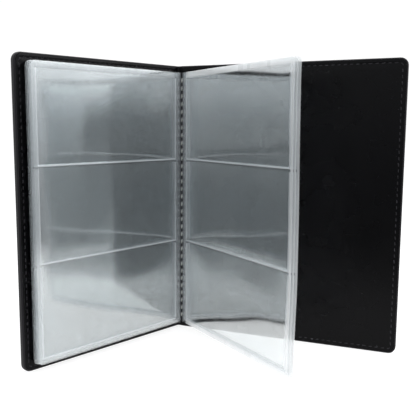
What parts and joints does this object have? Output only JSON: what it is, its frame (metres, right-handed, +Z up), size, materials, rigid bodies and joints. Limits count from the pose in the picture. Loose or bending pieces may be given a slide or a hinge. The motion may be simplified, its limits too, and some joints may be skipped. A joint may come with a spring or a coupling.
{
  "type": "coin album",
  "caption": "Hard-cover collector's album standing open, with clear leaves of landscape pockets bound at the spine between two hinged, stitched covers.",
  "frame": {"origin": "in the spine's bottom face, at the middle of its width and of its thickness", "axes": "+Z up along the spine; +X across the spine from the front cover's hinge to the back cover's hinge; -Y towards the reader"},
  "size_m": [0.214, 0.1308, 0.195],
  "materials": {
    "leatherette": "fine-grained black leatherette, satin",
    "lining": "smooth black leatherette, satin",
    "greyboard": "plain pressed board",
    "foam": "thin foam",
    "thread": "dark grey sewing thread",
    "tape": "black woven tape",
    "welded_film": "welded clear film, slightly milky",
    "clear_film": "clear glossy film"
  },
  "bodies": {
    "spine": {"spine_skin": "leatherette", "spine_board": "greyboard", "spine_lining": "lining", "binding_tape": "tape", "binding_block": "welded_film", "binding_thread": "thread"},
    "front_cover": {"front_cover_skin": "leatherette", "front_cover_padding": "foam", "front_cover_board": "greyboard", "front_cover_lining": "lining", "front_cover_stitching": "thread"},
    "back_cover": {"back_cover_skin": "leatherette", "back_cover_padding": "foam", "back_cover_board": "greyboard", "back_cover_lining": "lining", "back_cover_stitching": "thread"},
    "leaf_1": {"leaf_1_backing": "clear_film", "leaf_1_pocket_bottom": "clear_film", "leaf_1_pocket_middle": "clear_film", "leaf_1_pocket_top": "clear_film"},
    "leaf_2": {"leaf_2_backing": "clear_film", "leaf_2_pocket_bottom": "clear_film", "leaf_2_pocket_middle": "clear_film", "leaf_2_pocket_top": "clear_film"},
    "leaf_3": {"leaf_3_backing": "clear_film", "leaf_3_pocket_bottom": "clear_film", "leaf_3_pocket_middle": "clear_film", "leaf_3_pocket_top": "clear_film"},
    "leaf_4": {"leaf_4_backing": "clear_film", "leaf_4_pocket_bottom": "clear_film", "leaf_4_pocket_middle": "clear_film", "leaf_4_pocket_top": "clear_film"},
    "leaf_5": {"leaf_5_backing": "clear_film", "leaf_5_pocket_bottom": "clear_film", "leaf_5_pocket_middle": "clear_film", "leaf_5_pocket_top": "clear_film"},
    "leaf_6": {"leaf_6_backing": "clear_film", "leaf_6_pocket_bottom": "clear_film", "leaf_6_pocket_middle": "clear_film", "leaf_6_pocket_top": "clear_film"},
    "leaf_7": {"leaf_7_backing": "clear_film", "leaf_7_pocket_bottom": "clear_film", "leaf_7_pocket_middle": "clear_film", "leaf_7_pocket_top": "clear_film"},
    "leaf_8": {"leaf_8_backing": "clear_film", "leaf_8_pocket_bottom": "clear_film", "leaf_8_pocket_middle": "clear_film", "leaf_8_pocket_top": "clear_film"}
  },
  "joints": [
    {"name": "front_cover_hinge", "type": "hinge", "parent": "spine", "child": "front_cover", "pos_m": [-0.0115, -0.0025, 0], "axis": [0, 0, 1], "range_deg": [-68, 22]},
    {"name": "back_cover_hinge", "type": "hinge", "parent": "spine", "child": "back_cover", "pos_m": [0.0115, -0.0025, 0], "axis": [0, 0, -1], "range_deg": [-1, 89]},
    {"name": "leaf_1_fold", "type": "hinge", "parent": "spine", "child": "leaf_1", "pos_m": [-0.01065, -0.0047, 0], "axis": [0, 0, 1], "range_deg": [-65.55, 21.22]},
    {"name": "leaf_2_fold", "type": "hinge", "parent": "spine", "child": "leaf_2", "pos_m": [-0.00985, -0.0055, 0], "axis": [0, 0, 1], "range_deg": [-65.55, 21.22]},
    {"name": "leaf_3_fold", "type": "hinge", "parent": "spine", "child": "leaf_3", "pos_m": [-0.00905, -0.0063, 0], "axis": [0, 0, 1], "range_deg": [-65.55, 21.22]},
    {"name": "leaf_4_fold", "type": "hinge", "parent": "spine", "child": "leaf_4", "pos_m": [-0.00825, -0.0071, 0], "axis": [0, 0, 1], "range_deg": [-65.55, 21.22]},
    {"name": "leaf_5_fold", "type": "hinge", "parent": "spine", "child": "leaf_5", "pos_m": [-0.00745, -0.0079, 0], "axis": [0, 0, 1], "range_deg": [-65.55, 21.22]},
    {"name": "leaf_6_fold", "type": "hinge", "parent": "spine", "child": "leaf_6", "pos_m": [-0.00575, -0.0079, 0], "axis": [0, 0, -1], "range_deg": [-0.6, 51.42]},
    {"name": "leaf_7_fold", "type": "hinge", "parent": "spine", "child": "leaf_7", "pos_m": [-0.00495, -0.0071, 0], "axis": [0, 0, -1], "range_deg": [-0.6, 51.62]},
    {"name": "leaf_8_fold", "type": "hinge", "parent": "spine", "child": "leaf_8", "pos_m": [-0.00415, -0.0063, 0], "axis": [0, 0, -1], "range_deg": [-0.6, 51.82]}
  ],
  "couplings": [
    {"joint": "leaf_1_fold", "follows": "front_cover_hinge", "ratio": 0.96364},
    {"joint": "leaf_2_fold", "follows": "front_cover_hinge", "ratio": 0.96364},
    {"joint": "leaf_3_fold", "follows": "front_cover_hinge", "ratio": 0.96364},
    {"joint": "leaf_4_fold", "follows": "front_cover_hinge", "ratio": 0.96364},
    {"joint": "leaf_5_fold", "follows": "front_cover_hinge", "ratio": 0.96364},
    {"joint": "leaf_6_fold", "follows": "back_cover_hinge", "ratio": 0.57753},
    {"joint": "leaf_7_fold", "follows": "back_cover_hinge", "ratio": 0.57978},
    {"joint": "leaf_8_fold", "follows": "back_cover_hinge", "ratio": 0.58202}
  ]
}
